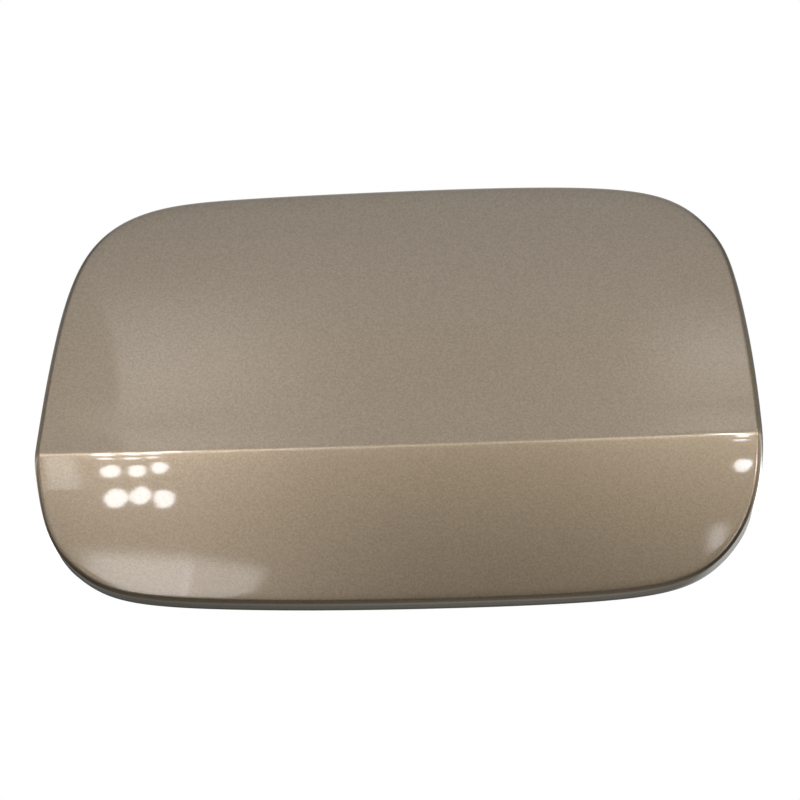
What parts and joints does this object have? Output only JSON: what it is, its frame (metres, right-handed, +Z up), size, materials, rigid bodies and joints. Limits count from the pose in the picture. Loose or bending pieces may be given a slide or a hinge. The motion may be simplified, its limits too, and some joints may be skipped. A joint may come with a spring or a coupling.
{
  "type": "car fuel door",
  "caption": "Painted pressed-steel fuel filler door with a rounded outline and a character line, on a sprung gooseneck hinge with a latch catch and cap holder.",
  "frame": {"origin": "midway between the hinge bracket's two bolt holes, on the seat that lies against the car's filler housing", "axes": "+X to the right as seen from outside the car, +Y inboard from the painted face into the car, +Z up"},
  "size_m": [0.1927, 0.038, 0.1134],
  "materials": {
    "body_paint": "beige metallic under clear coat",
    "inner_paint": "thin beige paint on the hidden side",
    "seam_sealer": "painted-over soft sealer",
    "mastic": "soft expanding mastic",
    "black_steel": "satin black electrocoat",
    "zinc_steel": "bright zinc plate",
    "spring_steel": "oiled spring wire",
    "nylon": "natural nylon",
    "black_plastic": "moulded black acetal",
    "black_rubber": "black rubber"
  },
  "bodies": {
    "base": {"hinge_bracket": "black_steel", "hinge_pin": "zinc_steel", "pin_clip": "spring_steel", "opening_spring": "spring_steel", "opening_stop": "black_rubber"},
    "door": {"outer_panel": "body_paint", "inner_panel": "inner_paint", "mastic_pads": "mastic", "hem_sealer": "seam_sealer", "hinge_arm": "black_steel", "arm_screws": "zinc_steel", "arm_washers": "zinc_steel", "weld_nuts": "zinc_steel", "upper_bush": "nylon", "lower_bush": "nylon", "latch_catch": "black_plastic", "catch_screws": "zinc_steel", "upper_buffer": "black_rubber", "lower_buffer": "black_rubber", "hinge_side_buffer": "black_rubber", "cap_holder": "black_plastic", "holder_rivets": "black_plastic"}
  },
  "joints": [
    {"name": "door_hinge", "type": "hinge", "parent": "base", "child": "door", "pos_m": [0.028, -0.019, 0], "axis": [0, 0, 1], "range_deg": [0, 95], "deforming": ["opening_spring"]}
  ]
}
